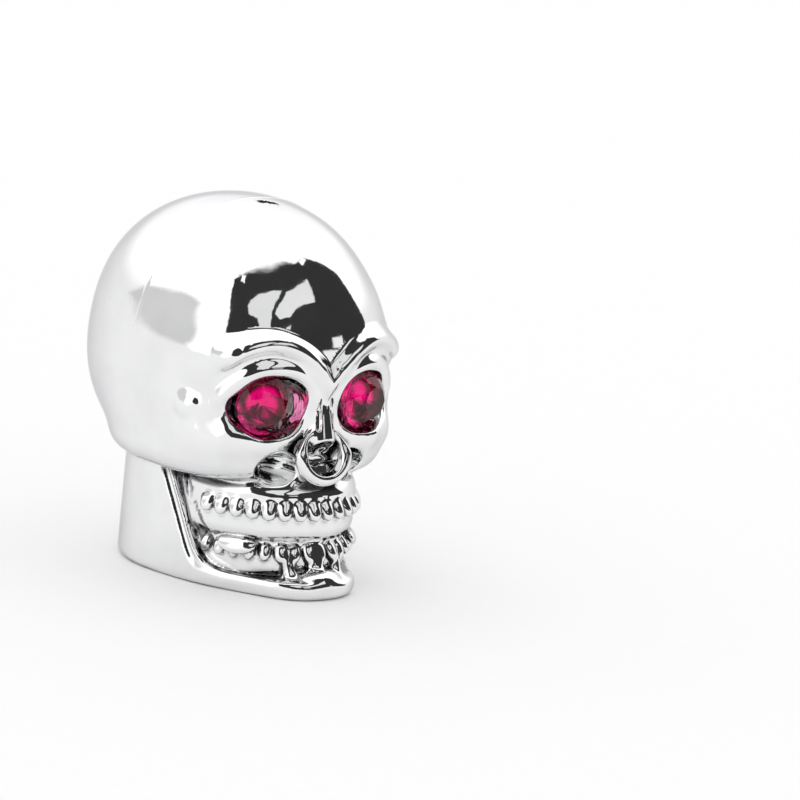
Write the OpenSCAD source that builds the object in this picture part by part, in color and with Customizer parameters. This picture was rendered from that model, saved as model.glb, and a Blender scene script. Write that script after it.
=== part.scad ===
// Tyre valve cap in the shape of a skull. Millimetres, +Z up through the crown, the face looks to -Y.
// The origin is on the axis of the bore, on the flat base that the cap stands on.

/* [Head] */
// width of the cranium
head_w = 17.5; // [16.5:0.1:21]
// length of the cranium, from the forehead to the back
head_l = 19.6; // [18.6:0.1:23.6]
// height over all
head_h = 24; // [22:0.1:29]
// radius of the neck
neck_r = 6.8; // [6.4:0.05:7.2]
// width of the chin block
chin_w = 8.6; // [7.8:0.1:9.4]
// reach of the chin in front of the bore axis
chin_reach = 10.95; // [10.4:0.05:11.5]
// rounding of the edge round the base
base_round = 0.55; // [0.2:0.05:0.8]

/* [Face] */
// width of the face at the temples
face_w = 16.8; // [16.2:0.1:17.4]
// reach of the face in front of the bore axis
face_reach = 8.3; // [8.1:0.05:8.5]
// height of the lower edge of the face over the neck
mask_z = 7.15; // [6.9:0.05:7.4]
// height of the brow's arches
brow_z = 16.45; // [16.15:0.05:16.75]
// how far the brow stands out
brow_t = 0.45; // [0.3:0.05:0.6]
// width of the roll of the brow
brow_wide = 2; // [1.6:0.1:2.4]
// radius of the cheekbone
cheek_r = 1.4; // [1.2:0.05:1.6]

/* [Eyes] */
// distance between the middles of the eyes
eye_gap = 7.5; // [7.1:0.1:7.9]
// height of the eyes
eye_z = 12.25; // [11.95:0.05:12.55]
// angle that each eye looks outwards
eye_turn = 13.5; // [10:0.5:17]
// width of an eye socket without its outer corner
socket_w = 4.9; // [4.6:0.1:5.2]
// height of an eye socket
socket_h = 4.05; // [3.95:0.05:4.3]
// depth of an eye socket behind the face
socket_deep = 1.6; // [1.4:0.05:1.8]
// how far the rim round a socket stands out
rim_t = 0.3; // [0.15:0.05:0.4]
// width of the rim round a socket
rim_wide = 1.5; // [1.2:0.1:1.8]

/* [Nose] */
// width of the nose opening
nose_w = 2.7; // [2.3:0.1:2.9]
// height of the nose opening
nose_h = 2.2; // [1.8:0.1:2.4]
// thickness of the raised rim round the nose opening
nose_rim = 0.45; // [0.35:0.05:0.55]

/* [Mouth] */
// half width of the arch of the gums
arch_w = 5.75; // [5.4:0.05:5.9]
// length of the arch of the gums
arch_l = 6; // [5.8:0.05:6.3]
// height of the middle of the upper teeth
upper_z = 5.2; // [4.95:0.05:5.45]
// half width of an upper tooth
upper_r = 0.55; // [0.45:0.01:0.6]
// half height of an upper tooth
upper_h = 1.1; // [0.95:0.05:1.25]
// height of the middle of the lower teeth
lower_z = 2.85; // [2.7:0.05:3]
// half width of a lower tooth
lower_r = 0.42; // [0.35:0.01:0.48]
// half height of a lower tooth
lower_h = 0.62; // [0.5:0.02:0.7]
// how far the lower teeth are set back behind the upper gum
lower_back = 0.3; // [0.2:0.05:0.4]
// how far the upper teeth are sunk in their gum
tooth_sunk = 0.1; // [0.05:0.05:0.2]
// height of the ledge under the mouth
ledge_z = 1.2; // [1.15:0.05:1.5]
// depth of the fine groove behind the mouth
groove_t = 0.14; // [0.08:0.02:0.2]
// width of the fine groove
groove_wide = 0.64; // [0.5:0.02:0.8]

/* [Threaded insert] */
// radius of the bore between the thread's crests
bore_r = 3.55; // [3.5:0.01:3.6]
// radius of the valve thread over its crests
thread_r = 3.9; // [3.86:0.01:4]
// length of the threaded wall
thread_l = 5.4; // [4.5:0.1:6]
// radius of the insert's body
insert_r = 4.7; // [4.5:0.05:4.9]
// length of the insert
insert_l = 11.2; // [10.4:0.1:12]
// radius of the insert's collar
collar_r = 5.45; // [5.2:0.05:5.6]
// thickness of the collar
collar_t = 1; // [0.6:0.1:1.6]
// depth of the collar's face inside the base
collar_sunk = 0.1; // [0.05:0.05:0.4]
// depth of the step inside the collar
step_t = 0.25; // [0.1:0.05:0.4]
// width of the collar's outer rim
step_w = 0.75; // [0.6:0.05:0.85]

/* [Seal] */
// thickness of the seal washer
seal_t = 1.2; // [0.8:0.1:1.6]
// radius of the hole in the seal washer
seal_hole_r = 1.9; // [1.5:0.1:2.4]
// radius of the seal washer
seal_r = 4.05; // [3.95:0.05:4.2]
// play round and over the seal washer
seal_play = 0.05; // [0.02:0.01:0.1]

/* [Crystals] */
// radius of a crystal at its girdle
crystal_r = 1.95; // [1.8:0.05:2]
// height of the girdle
girdle_t = 1.1; // [0.9:0.05:1.3]
// height of the cut crown above the girdle
crown_t = 0.9; // [0.7:0.05:1.1]
// number of main facets round the crown
facets = 8; // [6:1:10]
// radius of the flat table on top
table_r = 1; // [0.75:0.05:1.15]
// depth of a crystal's back in the floor of its socket
crystal_sunk = 0.05; // [0:0.01:0.1]

/* [Fits] */
// gap of what is glued or pressed in
glue_gap = 0.02; // [0.01:0.01:0.05]

/* [Hidden] */
$fn = 96;
eps = 0.01;

// masses of the head: middle, half sizes and fullness of each
front_y = -8.65;
crown_z = 14.8;
crown = [0, front_y + head_l / 2, crown_z];
crown_size = [head_w / 2, head_l / 2, head_h - crown_z];
crown_full = 2.12;
nape = [0, crown[1] + 2.05, 12.8];
nape_size = [head_w / 2 - 0.75, 7.3, 7.1];
forehead = [0, -2, 15.6];
forehead_size = [head_w / 2 - 1.05, 6.3, 5.4];
forehead_full = 2.3;
mask_deep = 7.4;
mask_high = 9.5;
mask_full = 2.9;
mask_round = 1.5;
brow_x = 4.2;
brow_bend = 0.16;
brow_ends = [6, 7.9];
cheek = [
    [6.7, 3.5 - face_reach, 9.5, cheek_r - 0.2],
    [5.55, 2.05 - face_reach, 9.5, cheek_r],
    [4.2, 1.25 - face_reach, 9.6, cheek_r - 0.05],
    [2.6, 0.9 - face_reach, 10, cheek_r - 0.4]
];
cheek_hollow = [3.6, 0.1 - face_reach, 8];
cheek_hollow_size = [2, 2.1, 1];

// eye sockets
socket_front = 0.5;
socket = [eye_gap / 2, -face_reach - socket_front, eye_z];
socket_size = [socket_w / 2, socket_deep + socket_front, socket_h / 2];
socket_full = 2.3;
corner = socket + [1.7, 0.8, -0.2];
corner_size = [1.45, socket_deep, 1.1];
crystal_y = face_reach - socket_deep - crystal_sunk;

// nose: the bridge from its root to its tip, and the ring round the opening
bridge = [[0, 0.3 - face_reach, 13.8], [0, -0.2 - face_reach, 10.1]];
bridge_r = [0.45, 1];
nostril = [0, -0.45 - face_reach, 8.8];
nostril_lean = 13;
opening = [0, -1.15 - face_reach, 8.6];
opening_deep = 1.35;

// neck, and the mouth cut into it behind a sloping plane
neck_y = 0.3;
throat_y = -2.9;
throat_r = neck_r - 0.65;
block_z = [9, 8.5];
chin_y = -5.5;
chin_full = 2.35;
chin_h = 6;
mouth_back = [0, -1.9, 6.8];
mouth_slope = 27;
mouth_bend = 2.5;
groove_set = 0.42;
arch_y = -3.3;
core_back = 0.4;
palate = [0, -3.6, 6.6];
palate_size = [5, 5.25, 3.2];
gum_z = 5.3;
gum_h = 1.9;
lower_gum_z = 2.1;
upper_deep = 0.5;
chin_ridge = [[0, -8.8, 2.9], [0, -9.5, 1]];
chin_ridge_r = [0.5, 0.7];
chin_strut = [[2, -8.5, 2.8], [1.7, -9.4, 0.8]];
chin_strut_r = [0.3, 0.5];
chin_boss = [0, -9.4, 0.95];
chin_boss_size = [1.9, 1.5, 0.95];

// teeth stand this angle apart along the arch
tooth_turn = 10;
last_tooth = 7;

// how the surface is found: rows of rays that come in from outside
middle_y = -0.9;
ray_start = head_l;
ray_steps = 44;
ray_share = 0.6;
rays_a_tooth = 4;
front_rays = 32;
side_rays = 10;
side_turn = 97;
back_rays = 7;
dome_z = 17.5;
dome_rows = 9;
foot_rows = [0, 0.05, 0.15, 0.3, 0.5, 0.75];
bands = [[1, 7.4, 0.32], [7.4, 14.6, 0.4], [14.6, dome_z, 0.415]];

// levels inside the insert
chamfer = thread_r + 0.15 - bore_r;
insert_face = collar_sunk;
bore_start = insert_face + step_t + chamfer;
relief_r = seal_r + seal_play;
relief_start = bore_start + thread_l;
relief_end = relief_start + seal_t + 2 * seal_play;
drill_r = bore_r - 0.25;
drill_end = relief_end + 0.3;
drill_slope = tan(31);
insert_top = insert_face + insert_l;

function shrink(v, c, r) = [(v[0] - c[0]) / r[0], (v[1] - c[1]) / r[1], (v[2] - c[2]) / r[2]];
function turned(v, c, a) =
    let (x = v[0] - c[0], y = v[1] - c[1])
    [c[0] + x * cos(a) + y * sin(a), c[1] - x * sin(a) + y * cos(a), v[2]];

// distance from a round mass with middle c and half sizes r
function ball(v, c, r) =
    let (q = shrink(v, c, r), k = norm(q), g = norm([q[0] / r[0], q[1] / r[1], q[2] / r[2]]))
    k * (k - 1) / max(g, eps);

// the same with fuller corners, by the power n
function full_ball(v, c, r, n) =
    let (
        q = shrink(v, c, r),
        a = [abs(q[0]), abs(q[1]), abs(q[2])],
        k = pow(pow(a[0], n) + pow(a[1], n) + pow(a[2], n), 1 / n),
        s = n - 1,
        g = norm([pow(a[0], s) / r[0], pow(a[1], s) / r[1], pow(a[2], s) / r[2]]) * pow(max(k, eps), -s)
    )
    (k - 1) / max(g, eps);

// distance from a rod between a and b, tapering from ra to rb
function rod(v, a, b, ra, rb) =
    let (d = b - a, t = min(max((v - a) * d / (d * d), 0), 1))
    norm(v - a - t * d) - ra - t * (rb - ra);

// rods joined one after another; each point is [x, y, z, radius]
function spot(p) = [p[0], p[1], p[2]];
function bent(v, p, k, i = 0) =
    let (d = rod(v, spot(p[i]), spot(p[i + 1]), p[i][3], p[i + 1][3]))
    i + 2 < len(p) ? soft(d, bent(v, p, k, i + 1), k) : d;

// distance from an upright drum between two levels, edges rounded by e
function rounded(q, w, e) = norm([max(q, 0), max(w, 0)]) + min(max(q, w), 0) - e;
function post(v, c, r, z0, z1, e) =
    rounded(norm([v[0], v[1] - c]) - r + e, abs(v[2] - (z0 + z1) / 2) - (z1 - z0) / 2 + e, e);
function full_post(v, c, a, b, n, h, e) =
    let (
        x = abs(v[0] - c[0]) / (a - e),
        y = abs(v[1] - c[1]) / (b - e),
        k = pow(pow(x, n) + pow(y, n), 1 / n),
        g = norm([pow(x, n - 1) / (a - e), pow(y, n - 1) / (b - e)]) * pow(max(k, eps), 1 - n)
    )
    rounded((k - 1) / max(g, eps), abs(v[2] - c[2]) - h + e, e);

// distance from a tube of radius r along an ellipse a wide and b high that leans back
function hoop(v, c, a, b, r, lean) =
    let (
        q = v - c,
        y = q[1] * cos(lean) - q[2] * sin(lean),
        z = q[1] * sin(lean) + q[2] * cos(lean),
        k = norm([q[0] / a, z / b]) + eps,
        m = norm([q[0], z]) / k
    )
    norm([(k - 1) * m, y]) - r;

// smooth hump of height 1 between -1 and 1, and smooth step between a and b
function hump(t) = let (s = min(t * t, 1)) (1 - s) * (1 - s);
function ease(x, a, b) = let (t = min(max((x - a) / (b - a), 0), 1)) t * t * (3 - 2 * t);

// union and cut whose edge is blended over k
function soft(a, b, k) = let (h = max(k - abs(a - b), 0) / k) min(a, b) - h * h * h * k / 6;
function cut(a, b, k) = -soft(-a, b, k);

function arch_spot(t, g) = [(arch_w + g) * sin(t), arch_y - (arch_l + g) * cos(t)];

// the tooth of a row that is nearest to the point
function tooth(v, z, r, deep, h, g) =
    let (
        t = atan2(v[0] / arch_w, (arch_y - v[1]) / arch_l),
        i = min(max(round(t / tooth_turn - 0.5), 0), last_tooth),
        a = (i + 0.5) * tooth_turn,
        m = arch_spot(a, g),
        x = v[0] - m[0],
        y = v[1] - m[1]
    )
    ball([x * cos(a) + y * sin(a), x * sin(a) - y * cos(a), v[2] - z], [0, 0, 0], [r, deep, h]);

// cranium with its forehead and its bulge at the back
function cranium(v) =
    soft(
        soft(full_ball(v, crown, crown_size, crown_full), ball(v, nape, nape_size), 2),
        full_ball(v, forehead, forehead_size, forehead_full),
        1.5
    );

// face with its cheekbones
function mask(v) =
    let (
        c = [0, mask_deep - face_reach, mask_z + mask_high / 2],
        a = full_post(v, c, face_w / 2, mask_deep, mask_full, mask_high / 2, mask_round)
    )
    soft(soft(cranium(v), a, 1.6), bent(v, cheek, 0.1), 1.5);

// the hollow of an eye with its outer corner
function hollow(v) =
    soft(
        full_ball(turned(v, socket, eye_turn), socket, socket_size, socket_full),
        ball(v, corner, corner_size),
        1.2
    );

// the rim follows the edge of the socket and is strong over it
function rim(v) =
    rim_t * hump((hollow(v) - rim_wide / 3) / (rim_wide / 2))
        * (0.15 + 0.85 * ease(v[2], eye_z - 0.8, eye_z + 0.6));

// the brow follows two arches that meet in the middle
function brow(v) =
    let (
        x = v[0] - brow_x,
        s = (v[2] - brow_z + brow_bend * x * x) / norm([1, 2 * brow_bend * x])
    )
    brow_t * hump(s / (brow_wide / 2)) * (1 - ease(v[0], brow_ends[0], brow_ends[1]));

// neck and chin in one block
function jaw_block(v) =
    soft(
        soft(
            post(v, neck_y, neck_r, 0, block_z[0], base_round),
            post(v, throat_y, throat_r, 0, block_z[1], base_round),
            1.2
        ),
        full_post(v, [0, chin_y, chin_h / 2], chin_w / 2, chin_reach + chin_y, chin_full, chin_h / 2,
            base_round),
        1.2
    );

// the block with the mouth cut out, a fine groove beside the cut, and the upper jaw in it
function jaw(v) =
    let (
        q = v - mouth_back,
        behind = q[1] * cos(mouth_slope) - q[2] * sin(mouth_slope),
        edge = -soft(-behind, v[2] - ledge_z, mouth_bend),
        core = full_post(v, [0, arch_y, 4], arch_w - core_back, arch_l - core_back, 2, 6, 0.3),
        line = hump((edge - groove_set) / (groove_wide / 2)) * ease(v[2], 0.9, 1.8),
        a = cut(jaw_block(v) + groove_t * line, max(edge, -core), 0.7)
    )
    cut(soft(a, ball(v, palate, palate_size), 0.5), ball(v, cheek_hollow, cheek_hollow_size), 0.6);

function nose(d, v) =
    let (
        a = soft(d, rod(v, bridge[0], bridge[1], bridge_r[0], bridge_r[1]), 0.6),
        b = hoop(v, nostril, (nose_w + nose_rim * 2) / 2 - 0.05, (nose_h + nose_rim * 2) / 2, nose_rim,
            nostril_lean)
    )
    cut(soft(a, b, 0.35), ball(v, opening, [nose_w / 2, opening_deep, nose_h / 2]), 0.25);

// gums and both rows of teeth
function teeth(d, v) =
    let (
        a = soft(d, full_post(v, [0, arch_y, gum_z], arch_w, arch_l, 2.1, gum_h, 0.9), 0.5),
        b = soft(a, tooth(v, upper_z, upper_r, upper_deep, upper_h, -tooth_sunk), 0.25),
        c = soft(b, full_post(v, [0, arch_y, lower_gum_z], arch_w - lower_back - 0.05,
            arch_l - lower_back - 0.05, 2, 1, 0.5), 0.4)
    )
    soft(c, tooth(v, lower_z, lower_r, lower_r, lower_h, -lower_back), 0.12);

// ridge in the middle of the chin, a strut at each side and the boss under them
function chin(d, v) =
    let (
        a = soft(d, rod(v, chin_ridge[0], chin_ridge[1], chin_ridge_r[0], chin_ridge_r[1]), 0.6),
        b = soft(a, rod(v, chin_strut[0], chin_strut[1], chin_strut_r[0], chin_strut_r[1]), 0.8)
    )
    soft(b, ball(v, chin_boss, chin_boss_size), 0.3);

// the whole head; each part is only asked near where it is
function head(v) =
    let (
        front = v[1] < -3.5,
        top = v[2] > 6 ? (v[2] < 18 ? mask(v) : cranium(v)) : ray_start,
        face = front && v[2] > 9 && v[2] < 18 ? top - (rim(v) + brow(v)) * ease(-v[1], 3.5, 5.5) : top,
        low = v[2] < 9.5 ? jaw(v) : ray_start,
        all = soft(face, low, 0.5),
        a = front && v[2] > 6 && v[2] < 15 && v[0] < 3 ? nose(all, v) : all,
        b = front && v[2] > 9 && v[2] < 15.5 ? cut(a, hollow(v), 0.3) : a
    )
    v[2] < 8.5 && v[1] < 0 ? chin(teeth(b, v), v) : b;

// walks in along a ray until the surface
function walk(o, dir, t, i) =
    let (
        v = o - t * dir,
        d = head([abs(v[0]), v[1], v[2]])
    )
    i == 0 || d < 0.004 ? v : walk(o, dir, t - ray_share * d, i - 1);

// in front the rays go through the middle, the flanks and the gaps of the teeth
function ray_turn(i) =
    let (m = arch_spot(i * tooth_turn / rays_a_tooth, 0))
    atan2(m[0], middle_y - m[1]);
front_turn = ray_turn(front_rays);
half_turns = concat(
    [for (i = [0:front_rays - 1]) ray_turn(i)],
    [for (i = [0:side_rays - 1]) front_turn + (side_turn - front_turn) * i / side_rays],
    [for (i = [0:back_rays]) side_turn + (180 - side_turn) * i / back_rays]
);
columns = len(half_turns);
around = 2 * columns - 2;

// rows: level of the ray's root and its slope
rows = concat(
    [for (z = foot_rows) [z, 0]],
    [for (b = bands, z = [b[0]:b[2]:b[1] - b[2] / 2]) [z, 0]],
    [for (i = [0:dome_rows - 1]) [dome_z, 90 * i / dome_rows]]
);

function half_row(r) = [
    for (t = half_turns)
        walk(
            [0, middle_y, r[0]],
            [sin(t) * cos(r[1]), cos(t) * cos(r[1]), -sin(r[1])],
            ray_start,
            ray_steps
        )
];

// adds the mirror half of a row
function full_row(r) =
    let (h = half_row(r))
    concat(
        [for (i = [0:columns - 1]) (i == 0 || i == columns - 1) ? [0, h[i][1], h[i][2]] : h[i]],
        [for (i = [columns - 2:-1:1]) [-h[i][0], h[i][1], h[i][2]]]
    );

// cuts a four sided patch along its shorter diagonal
function split(net, a, b, c, d) =
    norm(net[a] - net[d]) < norm(net[b] - net[c])
        ? [[a, d, c], [a, b, d]]
        : [[a, b, c], [b, d, c]];

module head_shape() {
    net = [for (r = rows) each full_row(r)];
    levels = len(rows);
    top = walk([0, middle_y, dome_z], [0, 0, -1], ray_start, ray_steps);
    points = concat(net, [top]);
    faces = concat(
        [[for (j = [around - 1:-1:0]) j]],
        [for (i = [0:levels - 2], j = [0:around - 1])
            let (a = i * around + j, b = i * around + (j + 1) % around)
            each split(net, a, b, a + around, b + around)
        ],
        [for (j = [0:around - 1])
            let (a = (levels - 1) * around)
            [a + j, a + (j + 1) % around, a + around]
        ]
    );
    polyhedron(points, faces);
}

// frame of an eye: the back of the crystal is on the floor of the socket
module at_eye(side) {
    translate([side * eye_gap / 2, -crystal_y, eye_z])
        rotate([90, 0, side * eye_turn])
            children();
}

module crystal_seat(side) {
    at_eye(side)
        translate([0, 0, -glue_gap])
            cylinder(r = crystal_r + glue_gap, h = girdle_t + crown_t + 2);
}

// pocket that the insert is pressed into from below
module insert_pocket() {
    translate([0, 0, -1])
        cylinder(r = collar_r + glue_gap, h = insert_face + collar_t + 1);
    cylinder(r = insert_r + glue_gap, h = insert_top + glue_gap);
}

module skull_body() {
    color("silver")
        difference() {
            head_shape();
            insert_pocket();
            crystal_seat(1);
            crystal_seat(-1);
        }
}

module threaded_insert() {
    color("gainsboro")
        rotate_extrude()
            polygon([
                [thread_r + 0.15, insert_face + step_t],
                [collar_r - step_w, insert_face + step_t],
                [collar_r - step_w, insert_face],
                [collar_r, insert_face],
                [collar_r, insert_face + collar_t],
                [insert_r, insert_face + collar_t],
                [insert_r, insert_top],
                [0, insert_top],
                [0, drill_end + drill_r * drill_slope],
                [drill_r, drill_end],
                [drill_r, relief_end],
                [relief_r, relief_end],
                [relief_r, relief_start],
                [bore_r, relief_start],
                [bore_r, bore_start]
            ]);
}

module seal_washer() {
    color("black")
        translate([0, 0, relief_start + seal_play])
            difference() {
                cylinder(r = seal_r, h = seal_t);
                translate([0, 0, -1])
                    cylinder(r = seal_hole_r, h = seal_t + 2);
            }
}

// round stone with a flat back, a straight girdle and a cut crown
module crystal() {
    slope = atan2(crown_t, crystal_r - table_r);
    difference() {
        cylinder(r = crystal_r, h = girdle_t + crown_t);
        for (i = [0:facets - 1])
            rotate([0, 0, (i + 0.5) * 360 / facets])
                translate([crystal_r * cos(180 / facets), 0, girdle_t])
                    rotate([0, slope - 90, 0])
                        translate([0, -5, -5])
                            cube([10, 10, 10]);
    }
}

module crystal_left() {
    color("crimson")
        at_eye(1)
            crystal();
}

module crystal_right() {
    color("crimson")
        at_eye(-1)
            crystal();
}

skull_body();
threaded_insert();
seal_washer();
crystal_left();
crystal_right();
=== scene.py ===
import math

import bpy
import numpy as np
import openvdb
from mathutils import Matrix, Vector


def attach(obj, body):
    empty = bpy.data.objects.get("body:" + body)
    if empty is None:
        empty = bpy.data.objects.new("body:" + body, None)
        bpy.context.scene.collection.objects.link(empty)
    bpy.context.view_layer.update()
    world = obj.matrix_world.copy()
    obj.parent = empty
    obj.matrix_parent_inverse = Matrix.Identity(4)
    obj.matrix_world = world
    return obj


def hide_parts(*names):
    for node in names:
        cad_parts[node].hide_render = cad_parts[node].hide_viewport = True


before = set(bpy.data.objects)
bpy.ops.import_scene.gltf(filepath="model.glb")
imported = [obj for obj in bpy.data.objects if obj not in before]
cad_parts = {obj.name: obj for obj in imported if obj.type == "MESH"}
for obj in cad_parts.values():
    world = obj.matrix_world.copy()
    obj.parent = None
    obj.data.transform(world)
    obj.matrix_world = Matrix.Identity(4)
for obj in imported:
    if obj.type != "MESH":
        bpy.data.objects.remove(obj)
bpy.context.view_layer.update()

# Sizes in millimetres, as the part's source has them
MM = 0.001
HEAD_W = 17.5
HEAD_L = 19.6
HEAD_H = 24.0
NECK_R = 6.8
CHIN_W = 8.6
CHIN_REACH = 10.95
BASE_ROUND = 0.55
FACE_W = 16.8
FACE_REACH = 8.3
MASK_Z = 7.15
BROW_Z = 16.45
CHEEK_R = 1.4
EYE_GAP = 7.5
EYE_Z = 12.25
EYE_TURN = 13.5
SOCKET_W = 4.9
SOCKET_H = 4.05
SOCKET_DEEP = 1.6
RIM_T = 0.3
RIM_WIDE = 1.5
NOSE_W = 2.7
NOSE_H = 2.2
ARCH_W = 5.75
ARCH_L = 6.0
UPPER_Z = 5.2
UPPER_R = 0.55
UPPER_H = 1.1
LOWER_Z = 2.85
LOWER_R = 0.42
LOWER_H = 0.62
LOWER_BACK = 0.3
TOOTH_SUNK = 0.1
LEDGE_Z = 1.2
GROOVE_WIDE = 0.64
BORE_R = 3.55
THREAD_R = 3.9
THREAD_L = 5.4
INSERT_R = 4.7
INSERT_L = 11.2
COLLAR_R = 5.45
COLLAR_T = 1.0
COLLAR_SUNK = 0.1
STEP_T = 0.25
STEP_W = 0.75
SEAL_T = 1.2
SEAL_HOLE_R = 1.9
SEAL_R = 4.05
SEAL_PLAY = 0.05
CRYSTAL_R = 1.95
GIRDLE_T = 1.1
CROWN_T = 0.9
FACETS = 8
TABLE_R = 1.0
CRYSTAL_SUNK = 0.05
GLUE_GAP = 0.02

# Cranium, and the mask of the face on it with brow and cheek
FRONT_Y = -8.65
CROWN_Z = 14.8
CROWN = (0, FRONT_Y + HEAD_L / 2, CROWN_Z)
CROWN_SIZE = (HEAD_W / 2, HEAD_L / 2, HEAD_H - CROWN_Z)
CROWN_FULL = 2.12
NAPE = (0, CROWN[1] + 2.05, 12.8)
NAPE_SIZE = (HEAD_W / 2 - 0.75, 7.3, 7.1)
FOREHEAD = (0, -2, 15.6)
FOREHEAD_SIZE = (HEAD_W / 2 - 1.05, 6.3, 5.4)
FOREHEAD_FULL = 2.3
MASK_DEEP = 7.4
MASK_HIGH = 9.5
MASK_FULL = 2.9
MASK_ROUND = 1.5
BROW_X = 4.2
BROW_BEND = 0.16
BROW_ENDS = (6, 7.9)
CHEEK = [
    (6.7, 3.5 - FACE_REACH, 9.5, CHEEK_R - 0.2),
    (5.55, 2.05 - FACE_REACH, 9.5, CHEEK_R),
    (4.2, 1.25 - FACE_REACH, 9.6, CHEEK_R - 0.05),
    (2.6, 0.9 - FACE_REACH, 10, CHEEK_R - 0.4),
]
CHEEK_HOLLOW = (3.6, 0.1 - FACE_REACH, 8)
CHEEK_HOLLOW_SIZE = (2, 2.1, 1)

# Eye sockets
SOCKET_FRONT = 0.5
SOCKET = (EYE_GAP / 2, -FACE_REACH - SOCKET_FRONT, EYE_Z)
SOCKET_SIZE = (SOCKET_W / 2, SOCKET_DEEP + SOCKET_FRONT, SOCKET_H / 2)
SOCKET_FULL = 2.3
CORNER = (SOCKET[0] + 1.7, SOCKET[1] + 0.8, SOCKET[2] - 0.2)
CORNER_SIZE = (1.45, SOCKET_DEEP, 1.1)
CRYSTAL_Y = FACE_REACH - SOCKET_DEEP - CRYSTAL_SUNK

# Rim round a socket, lower under the eye, and where rim and brow begin to stand out
RIM_LOW = 0.15
RIM_FADE = (EYE_Z - 0.8, EYE_Z + 0.6)
FACE_Z = (9, 18)
FACE_FADE = (3.5, 5.5)

# Nose: the bridge from its root to its tip, and the ring round the opening
BRIDGE = [(0, 0.3 - FACE_REACH, 13.8), (0, -0.2 - FACE_REACH, 10.1)]
BRIDGE_R = (0.45, 1.0)
RING_INSET = 0.05
OPENING_DEEP = 1.35

# Neck, and the mouth cut into it behind a sloping plane, round a core that stays
NECK_Y = 0.3
THROAT_Y = -2.9
THROAT_R = NECK_R - 0.65
BLOCK_Z = (9, 8.5)
CHIN_Y = -5.5
CHIN_FULL = 2.35
CHIN_H = 6
MOUTH_BACK = (0, -1.9, 6.8)
MOUTH_SLOPE = 27
MOUTH_BEND = 2.5
GROOVE_SET = 0.42
GROOVE_FADE = (0.9, 1.8)
ARCH_Y = -3.3
CORE_BACK = 0.4
CORE_Z = 4
CORE_H = 6
CORE_FULL = 2
CORE_ROUND = 0.3
PALATE = (0, -3.6, 6.6)
PALATE_SIZE = (5, 5.25, 3.2)

# Gums and teeth, which stand this angle apart along the arch
GUM_Z = 5.3
GUM_H = 1.9
GUM_FULL = 2.1
GUM_ROUND = 0.9
LOWER_GUM_Z = 2.1
LOWER_GUM_H = 1
LOWER_GUM_BACK = LOWER_BACK + 0.05
LOWER_GUM_FULL = 2
LOWER_GUM_ROUND = 0.5
UPPER_DEEP = 0.5
TOOTH_TURN = 10.0
LAST_TOOTH = 7

# Chin
CHIN_RIDGE = [(0, -8.8, 2.9), (0, -9.5, 1)]
CHIN_RIDGE_R = (0.5, 0.7)
CHIN_STRUT = [(2, -8.5, 2.8), (1.7, -9.4, 0.8)]
CHIN_STRUT_R = (0.3, 0.5)
CHIN_BOSS = (0, -9.4, 0.95)
CHIN_BOSS_SIZE = (1.9, 1.5, 0.95)

# How wide each mass blends into what it joins, or the edge of each cut is rounded
BLEND = {
    "nape": 2, "forehead": 1.5, "mask": 1.6, "cheek": 1.5, "rods": 0.1, "orbit_post": 0.8, "corner": 1.2,
    "throat": 1.2, "chin": 1.2, "mouth": 0.7, "crease": 0.15, "palate": 0.5, "cheek_hollow": 0.6,
    "under_cheek": 0.4, "jaw": 0.5, "bridge": 0.6, "nostril": 0.5, "opening": 0.25, "glabella": 0.3,
    "bridge_groove": 0.1, "socket": 0.3, "gum": 0.5, "upper_teeth": 0.3, "lower_gum": 0.4,
    "lower_teeth": 0.2, "molars": 0.15, "chin_ridge": 0.6, "chin_strut": 0.8, "chin_boss": 0.3,
    "gate": 0.04,
}

# Small marks: the crease behind the mouth, the mould line and the mark on the crown
CREASE = [
    (5.75, -2.3, 6.9, 0.35), (5.62, -2.9, 5.7, 0.45), (5.6, -3.85, 4.2, 0.5), (5.5, -4.8, 2.9, 0.45),
    (4.9, -5.5, 2.0, 0.3), (4.3, -6.7, 1.5, 0.2),
]
MOULD_Y = 0.35
MOULD_WIDE = 0.3
MOULD_T = 0.025
MOULD_FADE = (0.5, 1.5)
GATE = [(-0.23, -0.45, 23.88), (0.68, -0.9, 23.8)]
GATE_R = 0.22

# Forms of the face that are finer, or stand differently, than in the part's source
BROW_T = 0.6
BROW_WIDE = 1.9
GROOVE_T = 0.21
CHEEK_RAISED = 0.5
ORBIT_POST = [(6.5, -5.1, 9.6), (6.85, -4.75, 11.7)]
ORBIT_POST_R = 1.15
UNDER_CHEEK = (2.85, -8.8, 8.15)
UNDER_CHEEK_SIZE = (1.6, 2.4, 1.1)
# Low knobs beside the eye and at the brow's end: place, radius and height
KNOBS = [((7.97, -4.48, 11.96), 1.2, 0.3), ((6.8, -6.8, 15.45), 1.15, 0.32)]
GLABELLA = (0.75, -8.85, 14.75)
GLABELLA_R = 0.45
BRIDGE_GROOVE = [(0.42, -8.65, 13.3, 0.1), (0.5, -8.85, 12, 0.14), (0.6, -9.12, 10.9, 0.16)]
NOSTRIL = (0, -9.05, 9.15)
NOSTRIL_LEAN = 13
NOSE_RIM = 0.45
RING_THIN = 0.6
OPENING = (0, -1.4 - FACE_REACH, 9.05)
UPPER_LEAN = 0.5
UPPER_RAISED = 0.5
UPPER_SHORTER = 0.34
LOWER_LEAN = 0.45
MOLARS = (4.5, -6.8, 3.15)
MOLARS_SIZE = (1.3, 0.48, 0.62)
MOLARS_TURN = 60

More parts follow.
